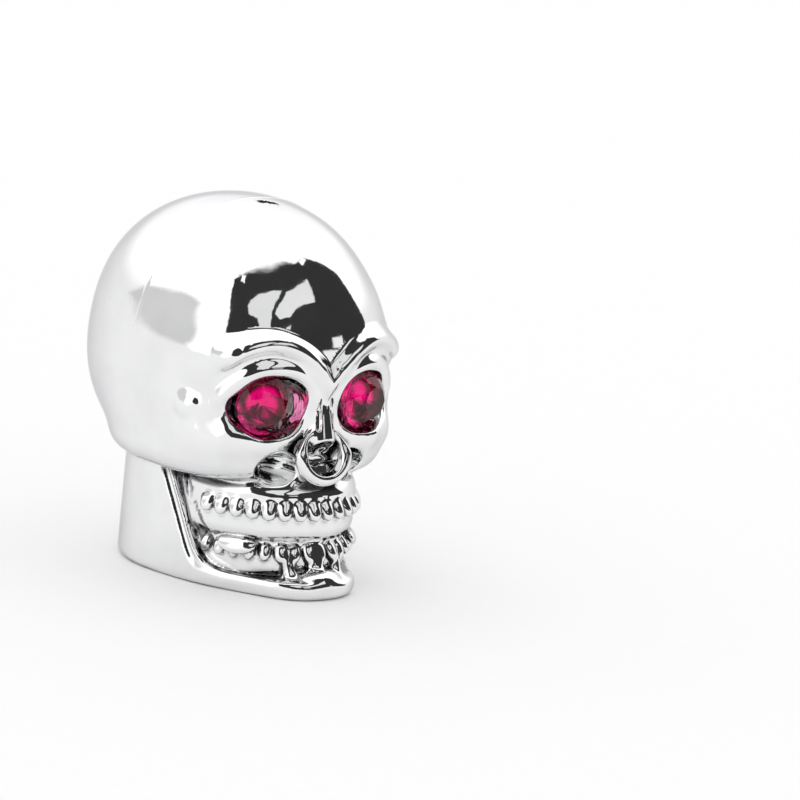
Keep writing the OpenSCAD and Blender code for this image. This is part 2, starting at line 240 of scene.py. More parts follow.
# Painted shade that darkens the plating in recesses: how far out other metal is felt for, how far the
# painted shade of the crease reaches round its rods, and a spot of painted shade under the cheek
RECESS_REACH = (0.45, 1.1)
RECESS_SLOPE = 0.7
CREASE_SHADE = 1.3
CREASE_SHADE_REACH = 0.2
CREASE_SHADE_MOST = 0.85
CREASE_SHADE_FADE = (1.6, 2.6)
SHADE_SPOT = (2.7, -7.0, 8.15)
SHADE_SPOT_R = 1.1
SHADE_SPOT_T = 1.2

# Levels inside the insert
MOUTH_R = THREAD_R + 0.15
CHAMFER = MOUTH_R - BORE_R
BORE_START = COLLAR_SUNK + STEP_T + CHAMFER
RELIEF_R = SEAL_R + SEAL_PLAY
RELIEF_START = BORE_START + THREAD_L
RELIEF_END = RELIEF_START + SEAL_T + 2 * SEAL_PLAY
DRILL_R = BORE_R - 0.25
DRILL_END = RELIEF_END + 0.3
DRILL_SLOPE = math.tan(math.radians(31))
INSERT_TOP = COLLAR_SUNK + INSERT_L
AXIS_R = 0.02
INSERT_ROUND = 0.06
SEAL_ROUND = 0.15

# Thread: pitch of 32 to the inch, rows of the mesh in a turn, the flat of a groove and the slope of its
# sides, and how the groove runs out at both ends
THREAD_PITCH = 25.4 / 32
THREAD_ROWS = 10
THREAD_FLAT = 1.5
THREAD_FLANK = 2.6
THREAD_FADE = 0.25
THREAD_LEFT = 0.02

# Faces round a turned piece, points that round off one corner of its outline, and how much of the
# way to the next corner they may take
ROUND = 160
CORNER_POINTS = 3
CORNER_MOST = 0.4

# Stones: radius where the kites meet, and the foil's tip and its two rings as radius and height
KITE_R = 1.38
FOIL_TIP = 0.06
FOIL_INNER = (1.0, 0.32)
FOIL_OUTER = (1.72, 0.62)

# Width of the net that finds the body's surface, how much of it may merge where it is nearly flat, the
# space it covers on one side, its spare rows, and how it is then moved onto the exact surface
VOXEL = 0.118
FLAT_ENOUGH = 0.001
NET_X = 9.6
NET_Y = (-11.6, 11.8)
NET_SPARE = 3
MOVES = 3
LEAST_SLOPE = 0.2
SLOPE_STEP = 0.01
SLAB = 400000
TINY = 1e-6
TINIEST = 1e-9


# Distances from simple masses. A point is a list of three arrays, x, y and z.
def single(value):
    return np.float32(value)


def moved(p, c):
    return [p[i] - single(c[i]) for i in range(3)]


def far_from(p, c):
    return np.sqrt(sum(v * v for v in moved(p, c)))


def turned(p, c, degrees):
    s, k = single(math.sin(math.radians(degrees))), single(math.cos(math.radians(degrees)))
    x, y = p[0] - single(c[0]), p[1] - single(c[1])
    return [x * k + y * s, -x * s + y * k, p[2] - single(c[2])]


def full_ball(q, r, n):
    """A ball with fuller sides than a round one where n is above 2."""
    a = [np.abs(q[i]) / single(r[i]) for i in range(3)]
    k = np.power(sum(np.power(v, single(n)) for v in a), single(1 / n)) + single(TINY)
    g = np.sqrt(sum((np.power(a[i], single(n - 1)) / single(r[i])) ** 2 for i in range(3)))
    return (k - 1) / (g * np.power(k, single(1 - n)) + single(TINY))


def ball(p, c, r):
    """A round ball with three radii."""
    q = moved(p, c)
    a = [q[i] / single(r[i]) for i in range(3)]
    k = np.sqrt(sum(v * v for v in a))
    g = np.sqrt(sum((a[i] / single(r[i])) ** 2 for i in range(3))) + single(TINY)
    return k * (k - 1) / g


def rod(p, a, b, ra, rb):
    """A round ended rod from a to b that changes its radius on the way."""
    d = [b[i] - a[i] for i in range(3)]
    q = moved(p, a)
    t = np.clip(sum(q[i] * single(d[i]) for i in range(3)) / single(sum(v * v for v in d)), 0, 1)
    return np.sqrt(sum((q[i] - t * single(d[i])) ** 2 for i in range(3))) - single(ra) - t * single(rb - ra)


def soft(a, b, k):
    """Joins two masses with a fillet of width k."""
    h = np.maximum(single(k) - np.abs(a - b), 0) / single(k)
    return np.minimum(a, b) - h * h * h * single(k / 6)


def cut(a, b, k):
    """Takes the second mass out of the first, with its edge rounded over k."""
    return -soft(-a, b, k)


def bent(p, points):
    """A chain of rods, each point with its radius."""
    d = None
    for a, b in zip(points, points[1:]):
        e = rod(p, a, b, a[3], b[3])
        d = e if d is None else soft(d, e, BLEND["rods"])
    return d


def rounded(q, w, e):
    return np.hypot(np.maximum(q, 0), np.maximum(w, 0)) + np.minimum(np.maximum(q, w), 0) - single(e)


def post(p, y, r, z0, z1, e):
    """An upright round post from z0 to z1 with its edges rounded over e."""
    q = np.hypot(p[0], p[1] - single(y)) - single(r - e)
    return rounded(q, np.abs(p[2] - single((z0 + z1) / 2)) - single((z1 - z0) / 2 - e), e)


def full_post(p, c, a, b, n, h, e):
    """An upright post with an oval section, fuller where n is above 2."""
    x, y = np.abs(p[0] - single(c[0])) / single(a - e), np.abs(p[1] - single(c[1])) / single(b - e)
    k = np.power(np.power(x, single(n)) + np.power(y, single(n)), single(1 / n)) + single(TINY)
    g = np.hypot(np.power(x, single(n - 1)) / single(a - e), np.power(y, single(n - 1)) / single(b - e))
    q = (k - 1) / (g * np.power(k, single(1 - n)) + single(TINY))
    return rounded(q, np.abs(p[2] - single(c[2])) - single(h - e), e)


def hoop(p, c, a, b, degrees):
    """Distance from an oval line that leans back."""
    q = moved(p, c)
    s, t = single(math.sin(math.radians(degrees))), single(math.cos(math.radians(degrees)))
    y, z = q[1] * t - q[2] * s, q[1] * s + q[2] * t
    k = np.hypot(q[0] / single(a), z / single(b)) + single(TINY)
    return np.hypot((k - 1) * np.hypot(q[0], z) / k, y)


def hump(t):
    """A smooth hump, 1 at t = 0 and 0 from t = 1 on."""
    return (1 - np.minimum(t * t, 1)) ** 2


def ease(x, a, b):
    """A smooth step from 0 at a to 1 at b."""
    t = np.clip((x - single(a)) / single(b - a), 0, 1)
    return t * t * (3 - 2 * t)


def tooth(p, z, r, deep, h, g, lean):
    """The tooth of a row that is nearest to the point; its top may lean back."""
    t = np.degrees(np.arctan2(p[0] / single(ARCH_W), (single(ARCH_Y) - p[1]) / single(ARCH_L)))
    i = np.clip(np.round(t / single(TOOTH_TURN) - single(0.5)), 0, LAST_TOOTH) + single(0.5)
    turn = np.radians(i * single(TOOTH_TURN))
    x = p[0] - single(ARCH_W + g) * np.sin(turn)
    y = p[1] - single(ARCH_Y) + single(ARCH_L + g) * np.cos(turn)
    across, out = x * np.cos(turn) + y * np.sin(turn), x * np.sin(turn) - y * np.cos(turn)
    up = p[2] - single(z)
    return ball([across, out + single(lean) * up, up], (0, 0, 0), (r, deep, h))


def cranium(p):
    a = full_ball(moved(p, CROWN), CROWN_SIZE, CROWN_FULL)
    a = soft(a, ball(p, NAPE, NAPE_SIZE), BLEND["nape"])
    forehead = full_ball(moved(p, FOREHEAD), FOREHEAD_SIZE, FOREHEAD_FULL)
    return soft(a, forehead, BLEND["forehead"])


def mask(p):
    c = (0, MASK_DEEP - FACE_REACH, MASK_Z + MASK_HIGH / 2)
    a = full_post(p, c, FACE_W / 2, MASK_DEEP, MASK_FULL, MASK_HIGH / 2, MASK_ROUND)
    a = soft(cranium(p), a, BLEND["mask"])
    a = soft(a, bent(moved(p, (0, 0, CHEEK_RAISED)), CHEEK), BLEND["cheek"])
    return soft(a, rod(p, *ORBIT_POST, ORBIT_POST_R, ORBIT_POST_R), BLEND["orbit_post"])


def hollow(p):
    a = full_ball(turned(p, SOCKET, EYE_TURN), SOCKET_SIZE, SOCKET_FULL)
    return soft(a, ball(p, CORNER, CORNER_SIZE), BLEND["corner"])


def rim_and_brow(p, eye):
    """How far the rim round an eye socket and the brow stand out."""
    rim = RIM_T * hump((eye - RIM_WIDE / 3) / (RIM_WIDE / 2))
    rim = rim * (RIM_LOW + (1 - RIM_LOW) * ease(p[2], *RIM_FADE))
    x = p[0] - single(BROW_X)
    s = (p[2] - single(BROW_Z) + single(BROW_BEND) * x * x) / np.hypot(1, single(2 * BROW_BEND) * x)
    brow = BROW_T * hump(s / (BROW_WIDE / 2)) * (1 - ease(p[0], *BROW_ENDS))
    inside = (p[2] > FACE_Z[0]) & (p[2] < FACE_Z[1])
    return (rim + brow) * ease(-p[1], *FACE_FADE) * inside


def jaw(p):
    a = soft(post(p, NECK_Y, NECK_R, 0, BLOCK_Z[0], BASE_ROUND),
             post(p, THROAT_Y, THROAT_R, 0, BLOCK_Z[1], BASE_ROUND), BLEND["throat"])
    a = soft(a, full_post(p, (0, CHIN_Y, CHIN_H / 2), CHIN_W / 2, CHIN_REACH + CHIN_Y, CHIN_FULL,
                          CHIN_H / 2, BASE_ROUND), BLEND["chin"])
    q = moved(p, MOUTH_BACK)
    slant = math.radians(MOUTH_SLOPE)
    behind = q[1] * single(math.cos(slant)) - q[2] * single(math.sin(slant))
    edge = -soft(-behind, p[2] - single(LEDGE_Z), MOUTH_BEND)
    core = full_post(p, (0, ARCH_Y, CORE_Z), ARCH_W - CORE_BACK, ARCH_L - CORE_BACK, CORE_FULL,
                     CORE_H, CORE_ROUND)
    line = hump((edge - single(GROOVE_SET)) / single(GROOVE_WIDE / 2)) * ease(p[2], *GROOVE_FADE)
    a = cut(a + single(GROOVE_T) * line, np.maximum(edge, -core), BLEND["mouth"])
    a = cut(a, bent(p, CREASE), BLEND["crease"])
    a = soft(a, ball(p, PALATE, PALATE_SIZE), BLEND["palate"])
    return cut(a, ball(p, CHEEK_HOLLOW, CHEEK_HOLLOW_SIZE), BLEND["cheek_hollow"])


def nose(d, p):
    a = soft(d, rod(p, *BRIDGE, *BRIDGE_R), BLEND["bridge"])
    rim = hoop(p, NOSTRIL, NOSE_W / 2 + NOSE_RIM - RING_INSET, NOSE_H / 2 + NOSE_RIM, NOSTRIL_LEAN)
    thick = 1 - RING_THIN * ease(p[2], NOSTRIL[2], NOSTRIL[2] + NOSE_H / 2)
    a = soft(a, rim - single(NOSE_RIM) * thick, BLEND["nostril"])
    return cut(a, ball(p, OPENING, (NOSE_W / 2, OPENING_DEEP, NOSE_H / 2)), BLEND["opening"])


def teeth(d, p):
    gum = full_post(p, (0, ARCH_Y, GUM_Z), ARCH_W, ARCH_L, GUM_FULL, GUM_H, GUM_ROUND)
    a = soft(d, gum, BLEND["gum"])
    upper = tooth(p, UPPER_Z + UPPER_RAISED, UPPER_R, UPPER_DEEP, UPPER_H - UPPER_SHORTER, -TOOTH_SUNK,
                  UPPER_LEAN)
    a = soft(a, upper, BLEND["upper_teeth"])
    gum = full_post(p, (0, ARCH_Y, LOWER_GUM_Z), ARCH_W - LOWER_GUM_BACK, ARCH_L - LOWER_GUM_BACK,
                    LOWER_GUM_FULL, LOWER_GUM_H, LOWER_GUM_ROUND)
    a = soft(a, gum, BLEND["lower_gum"])
    lower = tooth(p, LOWER_Z, LOWER_R, LOWER_R, LOWER_H, -LOWER_BACK, LOWER_LEAN)
    a = soft(a, lower, BLEND["lower_teeth"])
    q = turned(p, MOLARS, MOLARS_TURN)
    back_teeth = ball([q[0], q[1] - single(LOWER_LEAN) * q[2], q[2]], (0, 0, 0), MOLARS_SIZE)
    return soft(a, back_teeth, BLEND["molars"])


def chin(d, p):
    a = soft(d, rod(p, *CHIN_RIDGE, *CHIN_RIDGE_R), BLEND["chin_ridge"])
    a = soft(a, rod(p, *CHIN_STRUT, *CHIN_STRUT_R), BLEND["chin_strut"])
    return soft(a, ball(p, CHIN_BOSS, CHIN_BOSS_SIZE), BLEND["chin_boss"])


def seat(p):
    """The round seat of a crystal on the side x > 0."""
    t = turned(p, (EYE_GAP / 2, -CRYSTAL_Y, EYE_Z), EYE_TURN)
    return np.maximum(np.hypot(t[0], t[2]) - single(CRYSTAL_R + GLUE_GAP), t[1] - single(GLUE_GAP))


def pocket(p):
    """The pocket that the insert is pressed into."""
    r = np.hypot(p[0], p[1])
    return np.minimum(
        np.maximum(r - single(COLLAR_R + GLUE_GAP), p[2] - single(COLLAR_SUNK + COLLAR_T)),
        np.maximum(r - single(INSERT_R + GLUE_GAP), p[2] - single(INSERT_TOP + GLUE_GAP)),
    )


def head(p):
    """Distance from the surface of the whole body, negative inside."""
    gate = rod(p, *GATE, GATE_R, GATE_R)
    p = [np.abs(p[0]), p[1], p[2]]
    eye = hollow(p)
    face = mask(p) - rim_and_brow(p, eye)
    for place, r, height in KNOBS:
        face = face - single(height) * hump(far_from(p, place) / single(r))
    face = cut(face, ball(p, UNDER_CHEEK, UNDER_CHEEK_SIZE), BLEND["under_cheek"])
    d = nose(soft(face, jaw(p), BLEND["jaw"]), p)
    d = soft(d, ball(p, GLABELLA, (GLABELLA_R,) * 3), BLEND["glabella"])
    d = cut(d, bent(p, BRIDGE_GROOVE), BLEND["bridge_groove"])
    d = chin(teeth(cut(d, eye, BLEND["socket"]), p), p)
    mould = hump((p[1] - single(MOULD_Y)) / single(MOULD_WIDE / 2)) * ease(p[2], *MOULD_FADE)
    d = d - single(MOULD_T) * mould
    d = cut(d, gate, BLEND["gate"])
    d = np.maximum(d, -np.minimum(pocket(p), seat(p)))
    return np.maximum(d, -p[2])


def in_slabs(function, p):
    """Runs the function over long arrays a part at a time, to keep memory small."""
    parts = [function([v[i : i + SLAB] for v in p]) for i in range(0, len(p[0]), SLAB)]
    return np.concatenate(parts)


def slope(p):
    """Gradient of the head's distance."""
    g = []
    for axis in range(3):
        ahead = [v + SLOPE_STEP if i == axis else v for i, v in enumerate(p)]
        back = [v - SLOPE_STEP if i == axis else v for i, v in enumerate(p)]
        g.append(in_slabs(head, ahead) - in_slabs(head, back))
    return np.array(g) / (2 * SLOPE_STEP)


def mesh_object(name, points, faces, normals=None, smooth=True):
    mesh = bpy.data.meshes.new(name)
    mesh.from_pydata(points, [], faces)
    mesh.validate()
    mesh.polygons.foreach_set("use_smooth", [smooth] * len(mesh.polygons))
    if normals is not None:
        mesh.normals_split_custom_set_from_vertices(normals)
    made = bpy.data.objects.new(name, mesh)
    bpy.context.collection.objects.link(made)
    return made


def painted_shade_share(p, n, steep):
    """How much painted shade each point of the surface gets, from 0 in the open to 1 in a deep recess."""
    open_share = 1.0
    for reach in RECESS_REACH:
        ahead = in_slabs(head, [p[i] + reach * n[i] for i in range(3)])
        open_share = np.minimum(open_share, ahead / (reach * np.maximum(steep, RECESS_SLOPE)))
    p = [np.abs(p[0]), p[1], p[2]]
    # The crease behind the mouth and a spot under the cheek get painted shade of their own
    crease_shade = np.clip(CREASE_SHADE - np.abs(bent(p, CREASE)) / CREASE_SHADE_REACH, 0, CREASE_SHADE_MOST)
    crease_shade = crease_shade * ease(p[2], *CREASE_SHADE_FADE)
    spot_shade = SHADE_SPOT_T * hump(far_from(p, SHADE_SPOT) / SHADE_SPOT_R)
    return np.clip(np.maximum(1 - open_share, np.maximum(crease_shade, spot_shade)), 0, 1)


def body_surface():
    """The body's surface, found on a net of cubes and then moved onto the exact distance."""
    band = NET_SPARE * VOXEL
    low = np.array([0.0, NET_Y[0], -band])
    high = np.array([NET_X, NET_Y[1], HEAD_H + band])
    counts = np.ceil((high - low) / VOXEL).astype(int) + 1
    axes = [(low[i] + VOXEL * np.arange(counts[i])).astype(np.float32) for i in range(3)]
    grid = np.meshgrid(*axes, indexing="ij")
    half = in_slabs(head, [g.ravel() for g in grid]).reshape(counts)
    whole = np.concatenate([half[:0:-1], half])
    volume = openvdb.FloatGrid(band)
    volume.copyFromArray(np.clip(whole, -band, band).astype(np.float32))
    volume.gridClass = openvdb.GridClass.LEVEL_SET
    points, triangles, quads = volume.convertToPolygons(0.0, FLAT_ENOUGH)
    points = points * VOXEL + np.array([-(counts[0] - 1) * VOXEL, low[1], low[2]])
    p = [points[:, i].astype(np.float64) for i in range(3)]
    for _ in range(MOVES):
        g = slope(p)
        move = np.clip(in_slabs(head, p), -VOXEL, VOXEL) / np.maximum((g**2).sum(axis=0), LEAST_SLOPE)
        p = [p[i] - move * g[i] for i in range(3)]
    g = slope(p)
    steep = np.linalg.norm(g, axis=0) + TINIEST
    n = g / steep
    faces = quads[:, ::-1].tolist() + triangles[:, ::-1].tolist()
    made = mesh_object("plated_skull", np.array(p).T * MM, faces, n.T)
    # The surface carries the plating's painted shade, darker in recesses, as an attribute
    layer = made.data.attributes.new("recess", "FLOAT", "POINT")
    layer.data.foreach_set("value", painted_shade_share(p, n, steep).astype(np.float32))
    return made


def lathe(name, profile):
    """Turns a closed outline of (radius, z) round the bore axis."""
    points, faces = [], []
    count = len(profile)
    for i in range(ROUND):
        a = 2 * math.pi * i / ROUND
        points += [(r * math.cos(a) * MM, r * math.sin(a) * MM, z * MM) for r, z in profile]
    for i in range(ROUND):
        for j in range(count):
            a, b = i * count, (i + 1) % ROUND * count
            faces.append((a + j, b + j, b + (j + 1) % count, a + (j + 1) % count))
    return mesh_object(name, points, faces)


def bevelled(outline, e):
    """Rounds each corner of a closed outline over the length e, with CORNER_POINTS points."""
    made = []
    for i, corner in enumerate(outline):
        c = np.array(corner, float)
        back = np.array(outline[i - 1], float)
        ahead = np.array(outline[(i + 1) % len(outline)], float)
        a = c + (back - c) * min(CORNER_MOST, e / np.linalg.norm(back - c))
        b = c + (ahead - c) * min(CORNER_MOST, e / np.linalg.norm(ahead - c))
        made += [tuple(a), tuple(0.5 * c + 0.25 * (a + b)), tuple(b)]
    return made


# Tones of the materials, the darker first where there are two
PLATE_TONES = ((0.82, 0.822, 0.826), (0.87, 0.872, 0.875))
# Painted shade: the dark grey that the plating turns to in recesses
PAINTED_SHADE_TONE = (0.2, 0.2, 0.205)
DULL_TONES = ((0.24, 0.24, 0.25), (0.72, 0.72, 0.73))
PLATE_EDGE = (0.7, 0.7, 0.71, 1)
NICKEL_TONES = ((0.66, 0.65, 0.63), (0.8, 0.79, 0.77))
RUBBER_TONES = ((0.012, 0.012, 0.013), (0.035, 0.035, 0.036))
GLASS_TONES = ((1.0, 0.22, 0.5), (1.0, 0.34, 0.6))
GLASS_IOR = 1.47
FOIL_TONES = ((0.8, 0.004, 0.28), (1.0, 0.01, 0.42))
# The foil rim's painted light at its foot, then its painted shade
FOIL_PAINTED_LIGHT_TONE = (1.0, 0.13, 0.48)
FOIL_PAINTED_SHADE_TONE = (0.14, 0.008, 0.03)
FLOOR_TONES = ((0.975, 0.975, 0.975), (0.99, 0.99, 0.99))

# Where they change: how deep in a recess the painted shade sets in, the height over which the flat base's
# finish ends, the radius at which the foil's middle ends, and where its rim turns from painted light to
# shade
PAINTED_SHADE_RANGE = (0.38, 0.88)
UNDER_Z = (0.03, 0.12)
FOIL_MIDDLE_R = (0.6, 1.0)
FOIL_LIGHT_WAY = (0.65, 0.75)
FOIL_LIGHT_SPAN = (-1.15, -0.7)


# Materials
class Shader:
    """A material's tree, with short calls for its nodes."""

    def __init__(self, name):
        self.made = bpy.data.materials.new(name)
        self.made.use_nodes = True
        self.tree = self.made.node_tree
        self.main = self.tree.nodes["Principled BSDF"]
        self.place = self.node("ShaderNodeTexCoord").outputs["Object"]

    def node(self, kind, **inputs):
        made = self.tree.nodes.new(kind)
        for key, value in inputs.items():
            self.put(made.inputs[key.replace("_", " ")], value)
        return made

    def put(self, socket, value):
        if isinstance(value, bpy.types.NodeSocket):
            self.tree.links.new(value, socket)
        else:
            socket.default_value = value

    def set(self, **inputs):
        for key, value in inputs.items():
            self.put(self.main.inputs[key.replace("_", " ")], value)

    def scaled(self, x, y, z):
        """Coordinates in millimetres, stretched."""
        made = self.node("ShaderNodeMapping", Vector=self.place)
        made.inputs["Scale"].default_value = (x / MM, y / MM, z / MM)
        return made.outputs["Vector"]

    def noise(self, place, scale, detail=3.0, rough=0.5, bend=0.0):
        made = self.node("ShaderNodeTexNoise", Vector=place, Scale=scale, Detail=detail, Roughness=rough,
                         Distortion=bend)
        return made.outputs["Fac"]

    def ramp(self, value, a, b, to_a=0.0, to_b=1.0):
        made = self.node("ShaderNodeMapRange", Value=value)
        made.interpolation_type = "SMOOTHSTEP"
        for key, number in zip(("From Min", "From Max", "To Min", "To Max"), (a, b, to_a, to_b)):
            self.put(made.inputs[key], number)
        return made.outputs["Result"]

    def maths(self, kind, a, b=0.0):
        made = self.node("ShaderNodeMath")
        made.operation = kind
        self.put(made.inputs[0], a)
        self.put(made.inputs[1], b)
        return made.outputs[0]

    def mixed(self, share, a, b):
        made = self.tree.nodes.new("ShaderNodeMix")
        made.data_type = "RGBA"
        self.put(made.inputs[0], share)
        for socket, value in ((made.inputs[6], a), (made.inputs[7], b)):
            self.put(socket, value if isinstance(value, bpy.types.NodeSocket) else (*value, 1))
        return made.outputs[2]

    def bump(self, height, distance):
        made = self.node("ShaderNodeBump", Height=height, Distance=distance * MM, Strength=1.0)
        self.set(Normal=made.outputs["Normal"])

    def axis(self, letter):
        made = self.node("ShaderNodeSeparateXYZ", Vector=self.scaled(1, 1, 1))
        return made.outputs[letter]

    def radius(self):
        return self.length(self.axis("X"), self.axis("Y"))

    def length(self, x, y):
        squares = self.maths("ADD", self.maths("MULTIPLY", x, x), self.maths("MULTIPLY", y, y))
        return self.maths("SQRT", squares)


def plating():
    """Mirror bright plating with painted shade darkening it in the recesses, mottled and dull on the flat
    base.
    """
    s = Shader("bright_plating")
    recess = s.tree.nodes.new("ShaderNodeAttribute")
    recess.attribute_name = "recess"
    # Painted shade: the plating darkens towards a dark grey deep in recesses, in the crease and under the
    # cheek
    painted_shade = s.ramp(recess.outputs["Fac"], *PAINTED_SHADE_RANGE)
    under = s.ramp(s.axis("Z"), *UNDER_Z, 1.0, 0.0)
    waves = s.noise(s.scaled(1, 1, 1), 0.35, 2.0)
    stains = s.noise(s.scaled(0.8, 1.6, 1), 0.9, 5.0, 0.62, 1.2)
    streaks = s.noise(s.scaled(5.0, 0.7, 1), 1.0, 3.0)
    dull = s.mixed(s.ramp(stains, 0.38, 0.68), *DULL_TONES)
    bright = s.mixed(s.ramp(waves, 0.3, 0.7), *PLATE_TONES)
    bright = s.mixed(painted_shade, bright, PAINTED_SHADE_TONE)
    s.set(Metallic=1.0, Base_Color=s.mixed(under, bright, dull))
    rough = s.ramp(s.noise(s.scaled(1, 1, 1), 0.8), 0.3, 0.7, 0.03, 0.06)
    rough_under = s.ramp(streaks, 0.3, 0.7, 0.16, 0.34)
    s.set(Roughness=s.maths("MAXIMUM", rough, s.maths("MULTIPLY", under, rough_under)))
    s.main.inputs["Specular Tint"].default_value = PLATE_EDGE
    fine = s.noise(s.scaled(1, 1, 1), 1.3, 2.0)
    marks = s.maths("MULTIPLY", s.maths("ADD", stains, streaks), under)
    s.bump(s.maths("ADD", s.maths("MULTIPLY", fine, 0.25), marks), 0.02)
    return s.made


def turned_metal():
    """Nickel plated turned metal with the rings that the tool left."""
    s = Shader("insert_metal")
    rings = s.noise(s.node("ShaderNodeCombineXYZ", X=s.radius(), Y=0.0, Z=s.axis("Z")).outputs[0], 9.0, 2.0)
    spots = s.noise(s.scaled(1, 1, 1), 0.7, 4.0, 0.6)
    s.set(Metallic=1.0, Base_Color=s.mixed(s.ramp(spots, 0.35, 0.7), *NICKEL_TONES))
    s.set(Roughness=s.ramp(s.maths("ADD", rings, spots), 0.7, 1.3, 0.14, 0.3))
    s.bump(rings, 0.012)
    return s.made


def rubber():
    """Matt black rubber with a fine grain."""
    s = Shader("seal_rubber")
    grain = s.noise(s.scaled(1, 1, 1), 6.0, 4.0, 0.65)
    s.set(Base_Color=s.mixed(s.ramp(grain, 0.35, 0.7), *RUBBER_TONES))
    s.set(Roughness=s.ramp(grain, 0.3, 0.7, 0.45, 0.7))
    s.bump(grain, 0.03)
    return s.made


def stone_glass():
    """Clear red glass, slightly cloudy."""
    s = Shader("red_stone")
    cloud = s.noise(s.scaled(1, 1, 1), 0.9, 2.0)
    s.set(Base_Color=s.mixed(s.ramp(cloud, 0.3, 0.7), *GLASS_TONES))
    s.set(Roughness=s.ramp(cloud, 0.3, 0.7, 0.0, 0.02), IOR=GLASS_IOR)
    s.main.inputs["Transmission Weight"].default_value = 1.0
    return s.made


def stone_foil():
    """Coloured foil, brightest in the middle; its rim has painted light at the foot and painted shade,
    brown, above.
    """
    s = Shader("red_foil")
    cloud = s.noise(s.scaled(1, 1, 1), 1.6, 3.0)
    x = s.maths("SUBTRACT", s.axis("X"), s.maths("MULTIPLY", s.maths("SIGN", s.axis("X")), EYE_GAP / 2))
    z = s.maths("SUBTRACT", s.axis("Z"), EYE_Z)
    r = s.length(x, z)
    middle = s.mixed(s.ramp(cloud, 0.3, 0.7), *FOIL_TONES)
    way_x, way_z = FOIL_LIGHT_WAY
    # Painted light and shade on the rim: bright pink towards its lower foot, dark brown elsewhere
    low = s.maths("ADD", s.maths("MULTIPLY", z, way_z), s.maths("MULTIPLY", x, way_x))
    edge = s.mixed(s.ramp(low, *FOIL_LIGHT_SPAN), FOIL_PAINTED_LIGHT_TONE, FOIL_PAINTED_SHADE_TONE)
    s.set(Metallic=1.0, Base_Color=s.mixed(s.ramp(r, *FOIL_MIDDLE_R), middle, edge))
    s.set(Roughness=s.ramp(cloud, 0.3, 0.7, 0.12, 0.25))
    s.bump(cloud, 0.02)
    return s.made


# Pieces
CHROME = plating()
METAL = turned_metal()
RUBBER = rubber()
STONE = stone_glass()
FOIL = stone_foil()


def finish_piece(piece, material, node=None):
    piece.data.materials.append(material)
    if node:
        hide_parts(node)
    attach(piece, "root")


def thread_wall():
    """Rows of the bore's wall from its end down to its mouth, with a right hand thread cut into it."""
    rows = int(THREAD_L / THREAD_PITCH * THREAD_ROWS)
    grid = []
    for j in range(rows + 1):
        z = RELIEF_START - THREAD_L * j / rows
        to_end = min(z - BORE_START, RELIEF_START - z)
        ends = min(1.0, (to_end + THREAD_LEFT) / THREAD_FADE)
        ring = []
        for i in range(ROUND):
            phase = (z / THREAD_PITCH - i / ROUND) % 1.0
            wave = min(1.0, max(0.0, THREAD_FLAT - THREAD_FLANK * abs(phase * 2 - 1)))
            ring.append(BORE_R + (THREAD_R - BORE_R) * wave * ends)
        grid.append((z, ring))
    return grid


def insert_mesh():
    outline = [
        (MOUTH_R, COLLAR_SUNK + STEP_T),
        (COLLAR_R - STEP_W, COLLAR_SUNK + STEP_T),
        (COLLAR_R - STEP_W, COLLAR_SUNK),
        (COLLAR_R, COLLAR_SUNK),
        (COLLAR_R, COLLAR_SUNK + COLLAR_T),
        (INSERT_R, COLLAR_SUNK + COLLAR_T),
        (INSERT_R, INSERT_TOP),
        (AXIS_R, INSERT_TOP),
        (AXIS_R, DRILL_END + DRILL_R * DRILL_SLOPE),
        (DRILL_R, DRILL_END),
        (DRILL_R, RELIEF_END),
        (RELIEF_R, RELIEF_END),
        (RELIEF_R, RELIEF_START),
    ]
    bore = [(BORE_R, RELIEF_START), (BORE_R, BORE_START)]
    # The thread wall stands in for the bore's two corners, so their rounding is left out
    corners = bevelled(outline + bore, INSERT_ROUND)[: -CORNER_POINTS * len(bore)]
    rings = [(z, [r] * ROUND) for r, z in corners] + thread_wall()
    points, faces = [], []
    for z, ring in rings:
        for i, r in enumerate(ring):
            a = 2 * math.pi * i / len(ring)
            points.append((r * math.cos(a) * MM, r * math.sin(a) * MM, z * MM))
    for j in range(len(rings)):
        for i in range(ROUND):
            a, b = j * ROUND, (j + 1) % len(rings) * ROUND
            k = (i + 1) % ROUND
            faces.append((a + i, a + k, b + k, b + i))
    return mesh_object("turned_insert", points, faces)


def stone(name, side):
    """Round brilliant crown: table, kites, small facets, a straight girdle and a flat back."""
    mid_z = GIRDLE_T + CROWN_T - (KITE_R * math.cos(math.pi / FACETS) - TABLE_R)
    rings = [
        (TABLE_R, GIRDLE_T + CROWN_T, 0), (KITE_R, mid_z, 0.5), (CRYSTAL_R, GIRDLE_T, 0),
        (CRYSTAL_R, GIRDLE_T, 0.5), (CRYSTAL_R, 0, 0), (CRYSTAL_R, 0, 0.5),
    ]
    points, faces = [], []
    for i in range(FACETS):
        for r, z, half in rings:
            a = 2 * math.pi * (i + half) / FACETS
            points.append((r * math.cos(a), r * math.sin(a), z))
    count = len(rings)
    table, mid, girdle, between, foot, foot_between = range(count)
    for i in range(FACETS):
        k, b, n = count * i, count * ((i - 1) % FACETS), count * ((i + 1) % FACETS)
        faces += [
            (k + table, b + mid, k + girdle, k + mid),
            (k + table, k + mid, n + table),
            (k + mid, k + girdle, k + between),
            (k + mid, k + between, n + girdle),
            (k + girdle, k + foot, k + foot_between, k + between),
            (k + between, k + foot_between, n + foot, n + girdle),
        ]
    faces.append([count * i + table for i in range(FACETS)])
    faces.append([count * i + j for i in range(FACETS - 1, -1, -1) for j in (foot_between, foot)])
    return mesh_object(name, at_eye(points, side), faces, smooth=False)


